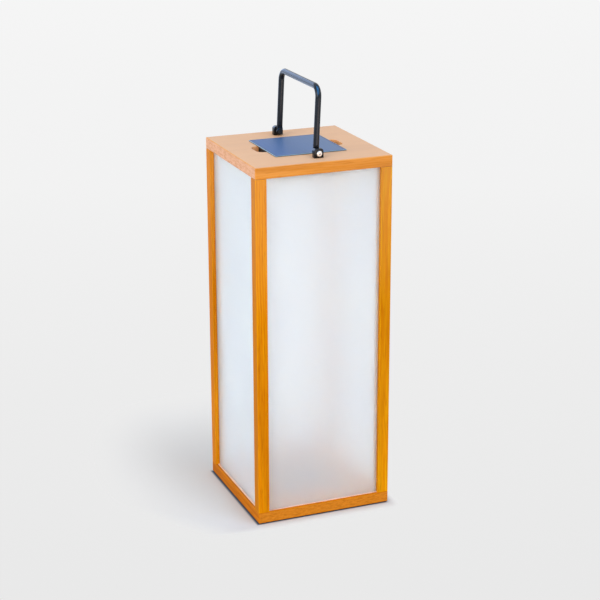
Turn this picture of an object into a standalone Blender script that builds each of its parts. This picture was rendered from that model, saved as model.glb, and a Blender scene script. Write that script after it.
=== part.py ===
"""A solar garden lantern: a timber box with frosted panes, a swing handle and a lift-out light module.

Metres, +Z up. The origin lies on the ground under the middle of the lantern, and the front faces -Y.
"""

import math

import bmesh
import bpy

# Clearance left between pieces that touch or fit into each other
FIT_GAP = 0.0003

# Timber box
BODY_WIDTH = 0.250
BODY_DEPTH = 0.250
BODY_HEIGHT = 0.646
POST_SIDE = 0.020
TOP_THICKNESS = 0.020
BASE_THICKNESS = 0.020
EDGE_EASE = 0.001

# Frosted panes, held in grooves of the posts and boards
PANE_THICKNESS = 0.003
PANE_SETBACK = 0.008
GROOVE_DEPTH = 0.005

# Foot pads under the base board
FOOT_RADIUS = 0.010
FOOT_HEIGHT = 0.0017
FOOT_INSET = 0.030

# Countersunk screws up through the base board into the posts
BASE_SCREW_RADIUS = 0.00225
BASE_SCREW_HEAD_RADIUS = 0.0042
BASE_SCREW_LENGTH = 0.045
BASE_SCREW_SINK = 0.0005

# Dowels, half in the posts and half in the top board
DOWEL_RADIUS = 0.003
DOWEL_LENGTH = 0.026

# Bail handle of round bar with flats milled at its ends, standing a little off plumb
LEG_INSET = 0.040
HANDLE_REACH = 0.110
BAR_RADIUS = 0.0052
BEND_RADIUS = 0.017
FLAT_THICKNESS = 0.005
FLAT_LENGTH = 0.0105
FLAT_SHOULDER = 0.0015
EYE_RADIUS = 0.006
EYE_PROUD = 0.0004
HANDLE_LEAN = math.radians(2.75)

# Pivot blocks, with their bolts, washers, nuts and fixing screws
PIVOT_HEIGHT = 0.008
BLOCK_WIDTH = 0.017
BLOCK_DEPTH = 0.010
BLOCK_HEIGHT = 0.016
BLOCK_ROUND = 0.005
BOLT_RADIUS = 0.0025
BOLT_HEAD_RADIUS = 0.005
BOLT_HEAD_HEIGHT = 0.0028
BOLT_END = 0.0008
HEX_KEY_RADIUS = 0.0018
HEX_KEY_DEPTH = 0.0016
WASHER_RADIUS = 0.005
WASHER_THICKNESS = 0.0008
NUT_RADIUS = 0.0046
NUT_THICKNESS = 0.003
BLOCK_SCREW_RADIUS = 0.0018
BLOCK_SCREW_HEAD_RADIUS = 0.0035
BLOCK_SCREW_HEAD_HEIGHT = 0.0024
BLOCK_SCREW_GRIP = 0.004
BLOCK_SCREW_OFFSET = 0.0052

# Light module: solar panel, whose rim rests on the top board, and the housing bonded under it
PANEL_SIDE = 0.131
PANEL_THICKNESS = 0.0015
PANEL_ROUND = 0.002
HOUSING_SIDE = 0.124
HOUSING_DEPTH = 0.034
HOUSING_WALL = 0.0022
HOUSING_ROOF = 0.0012
HOUSING_ROUND = 0.006
OPENING_CLEARANCE = 0.001

# Finger notches at both sides of the opening
NOTCH_REACH = 0.015
NOTCH_LENGTH = 0.046
NOTCH_ROUND = 0.013

# Cover that closes the housing from below, with its seal and screws
COVER_THICKNESS = 0.0025
SEAL_THICKNESS = 0.0009
SEAL_WIDTH = 0.0014
COLUMN_RADIUS = 0.0045
COVER_SCREW_RADIUS = 0.0013
COVER_SCREW_HEAD_RADIUS = 0.0025
COVER_SCREW_HEAD_HEIGHT = 0.0016
COVER_SCREW_GRIP = 0.008

# Diffuser lens in the window of the cover, and the LED board above it
WINDOW_RADIUS = 0.028
LENS_FLANGE = 0.003
LENS_FLANGE_THICKNESS = 0.0015
LENS_WALL = 0.0015
LENS_DROP = 0.008
LED_BOARD_LENGTH = 0.084
LED_BOARD_WIDTH = 0.036
LED_SIDE = 0.005
LED_HEIGHT = 0.0012
LED_SPREAD = 0.011

# Circuit boards stand on pegs of the cover, with formed heads
BOARD_THICKNESS = 0.0016
PILLAR_RADIUS = 0.003
PEG_RADIUS = 0.0012
PEG_HEAD_RADIUS = 0.0024
PEG_HEAD_HEIGHT = 0.001
PILLAR_INSET = 0.005

# Control board, push switch and power button
CONTROL_BOARD_LENGTH = 0.060
CONTROL_BOARD_WIDTH = 0.016
CONTROL_WALL_GAP = 0.0015
SWITCH_SIDE = 0.006
SWITCH_HEIGHT = 0.0035
BUTTON_RADIUS = 0.0042
BUTTON_FLANGE_RADIUS = 0.0055
BUTTON_FLANGE_HEIGHT = 0.001
BUTTON_PROUD = 0.0018
BUTTON_TRAVEL = 0.0008

# Battery cells in their holder
CELL_RADIUS = 0.0092
CELL_LENGTH = 0.065
CELL_PITCH = 0.0194
HOLDER_WALL = 0.002
HOLDER_FLOOR = 0.0016
HOLDER_CLIP = 0.007

# Leads inside the housing
LEAD_RADIUS = 0.0009
LEAD_STUB = 0.004
LEAD_ROUNDS = 2

# Facets on round pieces
ROUND_STEPS = 24
SMALL_STEPS = 12
CORNER_STEPS = 4

# Finishes: colour, roughness, metallic
TIMBER = ((0.74, 0.36, 0.09), 0.45, 0.0)
END_GRAIN = ((0.66, 0.36, 0.16), 0.55, 0.0)
FROSTED = ((0.80, 0.83, 0.86), 0.60, 0.0)
BLACK_COAT = ((0.015, 0.016, 0.018), 0.40, 0.0)
BRIGHT_STEEL = ((0.62, 0.62, 0.62), 0.28, 1.0)
DARK_STEEL = ((0.05, 0.05, 0.055), 0.35, 1.0)
ZINC = ((0.55, 0.55, 0.52), 0.40, 1.0)
BEECH = ((0.62, 0.45, 0.26), 0.60, 0.0)
BLACK_RUBBER = ((0.02, 0.02, 0.02), 0.85, 0.0)
SOLAR_GLASS = ((0.02, 0.05, 0.16), 0.08, 0.0)
BLACK_PLASTIC = ((0.02, 0.02, 0.022), 0.50, 0.0)
OPAL = ((0.86, 0.86, 0.84), 0.40, 0.0)
BOARD_WHITE = ((0.80, 0.80, 0.78), 0.50, 0.0)
BOARD_GREEN = ((0.03, 0.17, 0.07), 0.50, 0.0)
LED_YELLOW = ((0.80, 0.62, 0.12), 0.40, 0.0)
CELL_WRAP = ((0.05, 0.22, 0.42), 0.35, 0.0)
BUTTON_GREY = ((0.30, 0.31, 0.32), 0.50, 0.0)
LEAD_RED = ((0.45, 0.03, 0.02), 0.50, 0.0)

# Heights of the box, and the places of posts, legs and pivots
base_bottom = FOOT_HEIGHT + FIT_GAP
base_top = base_bottom + BASE_THICKNESS
top_top = base_bottom + BODY_HEIGHT
top_bottom = top_top - TOP_THICKNESS
post_x = (BODY_WIDTH - POST_SIDE) / 2
post_y = (BODY_DEPTH - POST_SIDE) / 2
leg_spacing = BODY_DEPTH - 2 * LEG_INSET
pivot_z = top_top + PIVOT_HEIGHT
CORNERS = {"front_left": (-1, -1), "front_right": (1, -1), "back_left": (-1, 1), "back_right": (1, 1)}
SIDES = {"front": -1, "back": 1}


def clear_scene():
    for old in list(bpy.data.objects):
        bpy.data.objects.remove(old)


def finish(name, look):
    """A material of the piece's own."""
    colour, roughness, metallic = look
    material = bpy.data.materials.new(name)
    material.use_nodes = True
    shader = material.node_tree.nodes["Principled BSDF"]
    shader.inputs["Base Color"].default_value = (*colour, 1.0)
    shader.inputs["Roughness"].default_value = roughness
    shader.inputs["Metallic"].default_value = metallic
    return material


def placed(name, data, location, rotation, parent):
    thing = bpy.data.objects.new(name, data)
    bpy.context.scene.collection.objects.link(thing)
    thing.location = location
    thing.rotation_euler = rotation
    thing.parent = parent
    return thing


def mesh_of(name, shape):
    bmesh.ops.recalc_face_normals(shape, faces=shape.faces)
    mesh = bpy.data.meshes.new(name)
    shape.to_mesh(mesh)
    shape.free()
    mesh.shade_smooth()
    mesh.set_sharp_from_angle(angle=math.radians(30))
    return mesh


def piece(name, shape, look, location=(0, 0, 0), rotation=(0, 0, 0), parent=None):
    """One sub-part of the lantern."""
    mesh = mesh_of(name, shape)
    mesh.materials.append(finish(name, look))
    return placed(name, mesh, location, rotation, parent)


def tool(name, shape, location=(0, 0, 0), rotation=(0, 0, 0), parent=None):
    """A hidden shape that cuts or joins."""
    thing = placed(name, mesh_of(name, shape), location, rotation, parent)
    thing.hide_render = True
    thing.display_type = "WIRE"
    return thing


def combine(target, other, operation):
    modifier = target.modifiers.new(other.name, "BOOLEAN")
    modifier.operation = operation
    modifier.solver = "EXACT"
    modifier.object = other


def cut(other, *targets):
    for target in targets:
        combine(target, other, "DIFFERENCE")


def join(target, other):
    combine(target, other, "UNION")


def eased(target, width, segments=1):
    """Takes the sharpness off a piece's edges, before anything is cut from it."""
    modifier = target.modifiers.new("eased edges", "BEVEL")
    modifier.width = width
    modifier.segments = segments
    modifier.limit_method = "ANGLE"


def box(size_x, size_y, size_z):
    shape = bmesh.new()
    bmesh.ops.create_cube(shape, size=1.0)
    bmesh.ops.scale(shape, vec=(size_x, size_y, size_z), verts=shape.verts)
    return shape


def arc(centre, radius, start, end, steps):
    """Points along an arc in a plane, from one angle in degrees to another."""
    points = []
    for i in range(steps + 1):
        angle = math.radians(start + (end - start) * i / steps)
        points.append((centre[0] + radius * math.cos(angle), centre[1] + radius * math.sin(angle)))
    return points


def rounded_outline(half_x, half_y, radius):
    x = half_x - radius
    y = half_y - radius
    outline = []
    for turn, centre in enumerate(((x, y), (-x, y), (-x, -y), (x, -y))):
        outline += arc(centre, radius, 90 * turn, 90 * turn + 90, CORNER_STEPS)
    return outline


def extruded(outline, low, high):
    """A flat outline drawn up from one height to another."""
    shape = bmesh.new()
    face = shape.faces.new([shape.verts.new((x, y, low)) for x, y in outline])
    grown = bmesh.ops.extrude_face_region(shape, geom=[face])
    moved = [item for item in grown["geom"] if isinstance(item, bmesh.types.BMVert)]
    bmesh.ops.translate(shape, vec=(0, 0, high - low), verts=moved)
    return shape


def lofted(rings, ring_shaped=False):
    """Skins rings of as many points each: a ring-shaped piece closes on itself, any other is capped."""
    shape = bmesh.new()
    loops = [[shape.verts.new(point) for point in ring] for ring in rings]
    pairs = list(zip(loops, loops[1:]))
    if ring_shaped:
        pairs.append((loops[-1], loops[0]))
    else:
        shape.faces.new(loops[0])
        shape.faces.new(loops[-1])
    for near, far in pairs:
        for i in range(len(near)):
            shape.faces.new((near[i - 1], near[i], far[i], far[i - 1]))
    return shape


def square_ring(half, radius, height):
    return [(x, y, height) for x, y in rounded_outline(half, half, radius)]


def turned(profile, steps, ring_shaped=False):
    """Spins a profile of (radius, height) points about Z. A ring's profile closes on itself."""
    shape = bmesh.new()
    points = [shape.verts.new((radius, 0, height)) for radius, height in profile]
    pairs = list(zip(points, points[1:]))
    if ring_shaped:
        pairs.append((points[-1], points[0]))
    edges = [shape.edges.new(pair) for pair in pairs]
    bmesh.ops.spin(
        shape,
        geom=points + edges,
        axis=(0, 0, 1),
        cent=(0, 0, 0),
        angle=math.tau,
        steps=steps,
        use_merge=True,
    )
    bmesh.ops.remove_doubles(shape, verts=shape.verts, dist=1e-6)
    return shape


def rod(radius, low, high, steps=SMALL_STEPS):
    return turned([(0, high), (radius, high), (radius, low), (0, low)], steps)


def washer(outer, inner, low, high, steps=SMALL_STEPS):
    return turned([(inner, high), (outer, high), (outer, low), (inner, low)], steps, ring_shaped=True)


def pan_screw(radius, head_radius, head_height, length):
    """A pan-head screw that points up, with the underside of its head at height 0."""
    profile = [(0, length), (radius * 0.5, length), (radius, length - radius), (radius, 0)]
    profile += [(head_radius, 0), (head_radius, -head_height * 0.5), (head_radius * 0.7, -head_height)]
    return turned(profile + [(0, -head_height)], SMALL_STEPS)


def countersunk_screw(radius, head_radius, length, play=0.0):
    """A countersunk screw that points up, with its head's flat side at height 0."""
    tip = [(0, length + play), (radius * 0.4 + play, length + play)]
    shank = [(radius + play, length - 3 * radius), (radius + play, head_radius - radius)]
    return turned(tip + shank + [(head_radius + play, 0), (0, 0)], SMALL_STEPS)


def base_board():
    board = piece(
        "base_board",
        box(BODY_WIDTH, BODY_DEPTH, BASE_THICKNESS),
        TIMBER,
        (0, 0, (base_bottom + base_top) / 2),
    )
    eased(board, EDGE_EASE)
    return board


def top_board():
    board = piece(
        "top_board",
        box(BODY_WIDTH, BODY_DEPTH, TOP_THICKNESS),
        END_GRAIN,
        (0, 0, (top_bottom + top_top) / 2),
    )
    eased(board, EDGE_EASE)
    half = HOUSING_SIDE / 2 + OPENING_CLEARANCE
    reach = PANEL_SIDE / 2 + NOTCH_REACH
    opening = rounded_outline(half, half, HOUSING_ROUND + OPENING_CLEARANCE)
    notches = rounded_outline(reach, NOTCH_LENGTH / 2, NOTCH_ROUND)
    for name, outline in (("module_opening", opening), ("finger_notches", notches)):
        cut(tool(name, extruded(outline, -TOP_THICKNESS, TOP_THICKNESS), board.location), board)
    return board


def post_outline():
    """A post's section, its outer corner towards -X and -Y, with a groove for each pane."""
    half = POST_SIDE / 2
    near = PANE_SETBACK - FIT_GAP - half
    far = PANE_SETBACK + PANE_THICKNESS + FIT_GAP - half
    floor = half - GROOVE_DEPTH
    side = [(half, -half), (half, near), (floor, near), (floor, far), (half, far)]
    other_side = [(y, x) for x, y in reversed(side)]
    return [(-half, EDGE_EASE - half), (EDGE_EASE - half, -half)] + side + [(half, half)] + other_side


def posts():
    made = {}
    for corner, (side_x, side_y) in CORNERS.items():
        outline = [(-side_x * x, -side_y * y) for x, y in post_outline()]
        shape = extruded(outline, base_top + FIT_GAP, top_bottom - FIT_GAP)
        place = (side_x * post_x, side_y * post_y, 0)
        made[corner] = piece("post_" + corner, shape, TIMBER, place)
    return made


def panes(base, top):
    """Four panes, and the grooves in the boards that hold their lower and upper edges."""
    inset = PANE_SETBACK + PANE_THICKNESS / 2
    low = base_top - GROOVE_DEPTH
    high = top_bottom + GROOVE_DEPTH
    centre_z = (low + high) / 2
    across = BODY_WIDTH - 2 * (POST_SIDE - GROOVE_DEPTH)
    along = BODY_DEPTH - 2 * (POST_SIDE - GROOVE_DEPTH)
    places = {
        "front": (0, inset - BODY_DEPTH / 2, across, PANE_THICKNESS),
        "back": (0, BODY_DEPTH / 2 - inset, across, PANE_THICKNESS),
        "left": (inset - BODY_WIDTH / 2, 0, PANE_THICKNESS, along),
        "right": (BODY_WIDTH / 2 - inset, 0, PANE_THICKNESS, along),
    }
    for side, (x, y, size_x, size_y) in places.items():
        slim_x = size_x - 2 * FIT_GAP if size_x > size_y else size_x
        slim_y = size_y - 2 * FIT_GAP if size_y > size_x else size_y
        piece("pane_" + side, box(slim_x, slim_y, high - low - 2 * FIT_GAP), FROSTED, (x, y, centre_z))
        wide_x = size_x if size_x > size_y else size_x + 2 * FIT_GAP
        wide_y = size_y if size_y > size_x else size_y + 2 * FIT_GAP
        groove = tool("groove_" + side, box(wide_x, wide_y, high - low), (x, y, centre_z))
        cut(groove, base, top)


def corner_fixings(base, top, corner_posts):
    """Foot pads, base screws and dowels at each corner."""
    screw_z = base_bottom + BASE_SCREW_SINK
    sunk_head = BASE_SCREW_HEAD_RADIUS + FIT_GAP
    for corner, (side_x, side_y) in CORNERS.items():
        post = corner_posts[corner]
        x = side_x * post_x
        y = side_y * post_y
        foot_x = side_x * (BODY_WIDTH / 2 - FOOT_INSET)
        foot_y = side_y * (BODY_DEPTH / 2 - FOOT_INSET)
        pad = rod(FOOT_RADIUS, 0, FOOT_HEIGHT, ROUND_STEPS)
        piece("foot_pad_" + corner, pad, BLACK_RUBBER, (foot_x, foot_y, 0))

        screw = countersunk_screw(BASE_SCREW_RADIUS, BASE_SCREW_HEAD_RADIUS, BASE_SCREW_LENGTH)
        piece("base_screw_" + corner, screw, ZINC, (x, y, screw_z))
        hole = countersunk_screw(BASE_SCREW_RADIUS, BASE_SCREW_HEAD_RADIUS, BASE_SCREW_LENGTH, FIT_GAP)
        cut(tool("screw_hole_" + corner, hole, (x, y, screw_z)), base, post)
        mouth = rod(sunk_head, -BASE_SCREW_SINK - FIT_GAP, FIT_GAP)
        cut(tool("screw_mouth_" + corner, mouth, (x, y, screw_z)), base)

        half = DOWEL_LENGTH / 2
        piece("top_dowel_" + corner, rod(DOWEL_RADIUS, -half, half), BEECH, (x, y, top_bottom))
        hole = rod(DOWEL_RADIUS + FIT_GAP, -half - FIT_GAP, half + FIT_GAP)
        cut(tool("dowel_hole_" + corner, hole, (x, y, top_bottom)), top, post)


def bar_ring(y, z, facing, half_thickness):
    """A ring round the handle's bar, flattened to a thickness, with its outer side facing at an angle."""
    out_y = math.cos(math.radians(facing))
    out_z = math.sin(math.radians(facing))
    ring = []
    for x, out in arc((0, 0), BAR_RADIUS, 0, 360, ROUND_STEPS)[1:]:
        out = max(-half_thickness, min(half_thickness, out))
        ring.append((x, y + out * out_y, z + out * out_z))
    return ring


def handle():
    """The bail, hung from an empty on its pivot axis."""
    pivot = placed("handle_pivot", None, (0, 0, pivot_z), (0, HANDLE_LEAN, 0), None)
    leg_y = leg_spacing / 2
    bend_y = leg_y - BEND_RADIUS
    bend_z = HANDLE_REACH - BEND_RADIUS
    half_flat = FLAT_THICKNESS / 2
    foot = [(0, half_flat), (FLAT_LENGTH, half_flat), (FLAT_LENGTH + FLAT_SHOULDER, BAR_RADIUS)]
    steps = 2 * CORNER_STEPS
    rings = [bar_ring(-leg_y, z, 180, half_thickness) for z, half_thickness in foot]
    for middle, start in ((-bend_y, 180), (bend_y, 90)):
        for i in range(steps + 1):
            facing = start - 90 * i / steps
            y = middle + BEND_RADIUS * math.cos(math.radians(facing))
            z = bend_z + BEND_RADIUS * math.sin(math.radians(facing))
            rings.append(bar_ring(y, z, facing, BAR_RADIUS))
    rings += [bar_ring(leg_y, z, 0, half_thickness) for z, half_thickness in reversed(foot)]
    bail = piece("handle_bail", lofted(rings), BLACK_COAT, parent=pivot)
    turn = (math.pi / 2, 0, 0)
    half_eye = half_flat + EYE_PROUD
    for side, sign in SIDES.items():
        eye = rod(EYE_RADIUS, -half_eye, half_eye, ROUND_STEPS)
        join(bail, tool("eye_" + side, eye, (0, sign * leg_y, 0), turn, pivot))
    bore = rod(BOLT_RADIUS + FIT_GAP, -leg_spacing, leg_spacing)
    cut(tool("eye_bore", bore, (0, 0, 0), turn, pivot), bail)


def hexagon(radius, low, high):
    return extruded(arc((0, 0), radius, 0, 300, 5), low, high)


def button_bolt(length):
    """A button-head bolt along Z, from the top of its head at height 0."""
    head = BOLT_HEAD_RADIUS
    profile = [(0, 0), (head * 0.55, 0), (head * 0.88, BOLT_HEAD_HEIGHT * 0.4), (head, BOLT_HEAD_HEIGHT)]
    profile += [(BOLT_RADIUS, BOLT_HEAD_HEIGHT), (BOLT_RADIUS, length), (0, length)]
    return turned(profile, SMALL_STEPS)


def pivots(top):
    """Both pivot blocks, with bolt, washer, nut and fixing screws, placed from the handle's eyes."""
    eye_out = leg_spacing / 2 + FLAT_THICKNESS / 2 + EYE_PROUD
    eye_in = leg_spacing / 2 - FLAT_THICKNESS / 2 - EYE_PROUD
    washer_in = eye_out + FIT_GAP
    block_in = washer_in + WASHER_THICKNESS + FIT_GAP
    block_out = block_in + BLOCK_DEPTH
    block_y = (block_in + block_out) / 2
    head_out = block_out + FIT_GAP + BOLT_HEAD_HEIGHT
    nut_out = eye_in - FIT_GAP
    nut_in = nut_out - NUT_THICKNESS
    bolt_length = head_out - nut_in + BOLT_END
    block_bottom = top_top + FIT_GAP
    half = BLOCK_WIDTH / 2
    outline = [(-half, 0), (half, 0)]
    outline += arc((half - BLOCK_ROUND, BLOCK_HEIGHT - BLOCK_ROUND), BLOCK_ROUND, 0, 90, CORNER_STEPS)
    outline += arc((BLOCK_ROUND - half, BLOCK_HEIGHT - BLOCK_ROUND), BLOCK_ROUND, 90, 180, CORNER_STEPS)
    across = (math.pi / 2, 0, 0)
    for side, sign in SIDES.items():
        inwards = (sign * math.pi / 2, 0, 0)
        shape = extruded(outline, -BLOCK_DEPTH / 2, BLOCK_DEPTH / 2)
        block = piece("pivot_block_" + side, shape, BLACK_COAT, (0, sign * block_y, block_bottom), across)
        bore = rod(BOLT_RADIUS + FIT_GAP, -BLOCK_DEPTH, BLOCK_DEPTH)
        cut(tool("block_bore_" + side, bore, (0, sign * block_y, pivot_z), across), block)

        place = (0, sign * head_out, pivot_z)
        bolt = piece("pivot_bolt_" + side, button_bolt(bolt_length), BRIGHT_STEEL, place, inwards)
        recess = hexagon(HEX_KEY_RADIUS, -HEX_KEY_DEPTH, HEX_KEY_DEPTH)
        cut(tool("hex_recess_" + side, recess, place, inwards), bolt)

        ring = washer(WASHER_RADIUS, BOLT_RADIUS + FIT_GAP, -WASHER_THICKNESS / 2, WASHER_THICKNESS / 2)
        washer_y = sign * (washer_in + WASHER_THICKNESS / 2)
        piece("pivot_washer_" + side, ring, BRIGHT_STEEL, (0, washer_y, pivot_z), across)

        place = (0, sign * (nut_in + NUT_THICKNESS / 2), pivot_z)
        shape = hexagon(NUT_RADIUS, -NUT_THICKNESS / 2, NUT_THICKNESS / 2)
        nut = piece("pivot_nut_" + side, shape, DARK_STEEL, place, across)
        bore = rod(BOLT_RADIUS + FIT_GAP, -NUT_THICKNESS, NUT_THICKNESS)
        cut(tool("nut_bore_" + side, bore, place, across), nut)

        for hand, offset in (("left", -BLOCK_SCREW_OFFSET), ("right", BLOCK_SCREW_OFFSET)):
            name = side + "_" + hand
            place = (offset, sign * block_y, top_bottom - FIT_GAP)
            length = TOP_THICKNESS + 2 * FIT_GAP + BLOCK_SCREW_GRIP
            shape = pan_screw(BLOCK_SCREW_RADIUS, BLOCK_SCREW_HEAD_RADIUS, BLOCK_SCREW_HEAD_HEIGHT, length)
            piece("block_screw_" + name, shape, ZINC, place)
            hole = rod(BLOCK_SCREW_RADIUS + FIT_GAP, -FIT_GAP, length + FIT_GAP)
            cut(tool("block_screw_hole_" + name, hole, place), top, block)


# Places inside the light module, measured from the top of the top board
panel_bottom = FIT_GAP
panel_top = panel_bottom + PANEL_THICKNESS
roof_top = panel_bottom - FIT_GAP
roof_bottom = roof_top - HOUSING_ROOF
housing_half = HOUSING_SIDE / 2
inner_half = housing_half - HOUSING_WALL
rim_bottom = -HOUSING_DEPTH
cover_top = rim_bottom - SEAL_THICKNESS - 2 * FIT_GAP
cover_bottom = cover_top - COVER_THICKNESS
column_place = inner_half - COLUMN_RADIUS + HOUSING_WALL / 2
lens_bottom = cover_top + FIT_GAP
led_board_bottom = lens_bottom + LENS_FLANGE_THICKNESS + FIT_GAP
led_board_top = led_board_bottom + BOARD_THICKNESS
button_top = cover_top + FIT_GAP + BUTTON_FLANGE_HEIGHT
switch_bottom = button_top + BUTTON_TRAVEL + FIT_GAP
control_board_bottom = switch_bottom + SWITCH_HEIGHT + FIT_GAP
control_board_top = control_board_bottom + BOARD_THICKNESS
control_board_y = inner_half - CONTROL_WALL_GAP - CONTROL_BOARD_WIDTH / 2
control_pillar_x = CONTROL_BOARD_LENGTH / 2 - PILLAR_INSET
led_pillar_x = LED_BOARD_LENGTH / 2 - PILLAR_INSET
panel_lead_x = control_pillar_x / 2


def housing(module):
    """The tub with its roof, in one moulding, with a screw column in each corner."""
    inner_round = HOUSING_ROUND - HOUSING_WALL
    rings = [
        square_ring(housing_half, HOUSING_ROUND, roof_top),
        square_ring(housing_half, HOUSING_ROUND, rim_bottom),
        square_ring(inner_half, inner_round, rim_bottom),
        square_ring(inner_half, inner_round, roof_bottom),
    ]
    tub = piece("module_housing", lofted(rings), BLACK_PLASTIC, parent=module)
    for corner, (side_x, side_y) in CORNERS.items():
        place = (side_x * column_place, side_y * column_place, 0)
        column = rod(COLUMN_RADIUS, rim_bottom + FIT_GAP, roof_bottom + HOUSING_ROOF / 2)
        join(tub, tool("column_" + corner, column, place, parent=module))
    wire_hole = rod(LEAD_RADIUS + FIT_GAP, -HOUSING_ROOF, 2 * HOUSING_ROOF)
    cut(tool("wire_hole", wire_hole, (panel_lead_x, control_board_y, roof_bottom), parent=module), tub)
    return tub


def solar_panel(module):
    half = PANEL_SIDE / 2
    rings = [square_ring(half, PANEL_ROUND, level) for level in (panel_bottom, panel_top)]
    piece("solar_panel", lofted(rings), SOLAR_GLASS, parent=module)


def peg(foot, seat):
    """A pillar up to a board's seat, with a peg through the board and a formed head."""
    over = seat + BOARD_THICKNESS + FIT_GAP
    profile = [(0, over + PEG_HEAD_HEIGHT), (PEG_HEAD_RADIUS, over + PEG_HEAD_HEIGHT / 2)]
    profile += [(PEG_HEAD_RADIUS, over), (PEG_RADIUS, over), (PEG_RADIUS, seat - FIT_GAP)]
    profile += [(PILLAR_RADIUS, seat - FIT_GAP), (PILLAR_RADIUS, foot), (0, foot)]
    return turned(profile, SMALL_STEPS)


def cover(module, tub):
    """The cover, its pegs for the boards, its seal and its screws."""
    rings = [square_ring(housing_half, HOUSING_ROUND, level) for level in (cover_bottom, cover_top)]
    plate = piece("module_cover", lofted(rings), BLACK_PLASTIC, parent=module)
    window = rod(WINDOW_RADIUS, cover_bottom - FIT_GAP, cover_top + FIT_GAP, ROUND_STEPS)
    cut(tool("lens_window", window, parent=module), plate)
    button_hole = rod(BUTTON_RADIUS + FIT_GAP, cover_bottom - FIT_GAP, cover_top + FIT_GAP)
    cut(tool("button_hole", button_hole, (0, control_board_y, 0), parent=module), plate)
    foot = (cover_bottom + cover_top) / 2
    for hand in (-1, 1):
        name = "left" if hand < 0 else "right"
        led_peg = peg(foot, led_board_bottom)
        join(plate, tool("led_peg_" + name, led_peg, (hand * led_pillar_x, 0, 0), parent=module))
        control_peg = peg(foot, control_board_bottom)
        place = (hand * control_pillar_x, control_board_y, 0)
        join(plate, tool("control_peg_" + name, control_peg, place, parent=module))

    inset = (HOUSING_WALL - SEAL_WIDTH) / 2
    outer = (housing_half - inset, HOUSING_ROUND - inset)
    inner = (housing_half - inset - SEAL_WIDTH, HOUSING_ROUND - inset - SEAL_WIDTH)
    low = cover_top + FIT_GAP
    high = low + SEAL_THICKNESS
    outside = [square_ring(*outer, low), square_ring(*outer, high)]
    inside = [square_ring(*inner, high), square_ring(*inner, low)]
    piece("cover_seal", lofted(outside + inside, ring_shaped=True), BLACK_RUBBER, parent=module)

    length = rim_bottom - cover_bottom + FIT_GAP + COVER_SCREW_GRIP
    for corner, (side_x, side_y) in CORNERS.items():
        place = (side_x * column_place, side_y * column_place, cover_bottom - FIT_GAP)
        shape = pan_screw(COVER_SCREW_RADIUS, COVER_SCREW_HEAD_RADIUS, COVER_SCREW_HEAD_HEIGHT, length)
        piece("cover_screw_" + corner, shape, ZINC, place, parent=module)
        hole = rod(COVER_SCREW_RADIUS + FIT_GAP, -FIT_GAP, length + FIT_GAP)
        cut(tool("cover_screw_hole_" + corner, hole, place, parent=module), plate, tub)


def lens(module):
    """A turned opal dome with a flange that lies on the cover."""
    dome = WINDOW_RADIUS - FIT_GAP
    depth = COVER_THICKNESS + FIT_GAP + LENS_DROP
    flange = WINDOW_RADIUS + LENS_FLANGE
    steps = CORNER_STEPS + 1
    outer = [(dome * x, lens_bottom - depth * z) for x, z in arc((0, 0), 1.0, 0, 90, steps)]
    hollow = arc((0, 0), 1.0, 0, 90, steps)
    inner = [((dome - LENS_WALL) * x, lens_bottom - (depth - LENS_WALL) * z) for x, z in hollow]
    outer[-1] = (0, outer[-1][1])
    inner[-1] = (0, inner[-1][1])
    top = lens_bottom + LENS_FLANGE_THICKNESS
    edge = [(dome - LENS_WALL, top), (flange, top), (flange, lens_bottom)]
    profile = list(reversed(inner)) + edge + outer
    piece("diffuser_lens", turned(profile, ROUND_STEPS), OPAL, parent=module)


def circuit_board(name, size, look, centre, pillar_x, module):
    board = piece(name, box(*size, BOARD_THICKNESS), look, centre, parent=module)
    for hand in (-1, 1):
        hole = rod(PEG_RADIUS + FIT_GAP, -BOARD_THICKNESS, BOARD_THICKNESS)
        place = (hand * pillar_x, centre[1], centre[2])
        cut(tool(f"{name}_hole_{'left' if hand < 0 else 'right'}", hole, place, parent=module), board)


def light(module):
    """LED board with its LEDs, which face down into the lens."""
    size = (LED_BOARD_LENGTH, LED_BOARD_WIDTH)
    centre = (0, 0, (led_board_bottom + led_board_top) / 2)
    circuit_board("led_board", size, BOARD_WHITE, centre, led_pillar_x, module)
    led_z = led_board_bottom - FIT_GAP - LED_HEIGHT / 2
    for corner, (side_x, side_y) in CORNERS.items():
        place = (side_x * LED_SPREAD, side_y * LED_SPREAD, led_z)
        piece("led_" + corner, box(LED_SIDE, LED_SIDE, LED_HEIGHT), LED_YELLOW, place, parent=module)


def controls(module):
    """Control board, the switch under it, and the button that presses the switch."""
    size = (CONTROL_BOARD_LENGTH, CONTROL_BOARD_WIDTH)
    centre = (0, control_board_y, (control_board_bottom + control_board_top) / 2)
    circuit_board("control_board", size, BOARD_GREEN, centre, control_pillar_x, module)
    place = (0, control_board_y, switch_bottom + SWITCH_HEIGHT / 2)
    piece("push_switch", box(SWITCH_SIDE, SWITCH_SIDE, SWITCH_HEIGHT), BLACK_PLASTIC, place, parent=module)
    cap = cover_bottom - BUTTON_PROUD - cover_top
    profile = [(0, FIT_GAP + BUTTON_FLANGE_HEIGHT), (BUTTON_FLANGE_RADIUS, FIT_GAP + BUTTON_FLANGE_HEIGHT)]
    profile += [(BUTTON_FLANGE_RADIUS, FIT_GAP), (BUTTON_RADIUS, FIT_GAP), (BUTTON_RADIUS, cap), (0, cap)]
    button = turned(profile, SMALL_STEPS)
    piece("power_button", button, BUTTON_GREY, (0, control_board_y, cover_top), parent=module)


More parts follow.
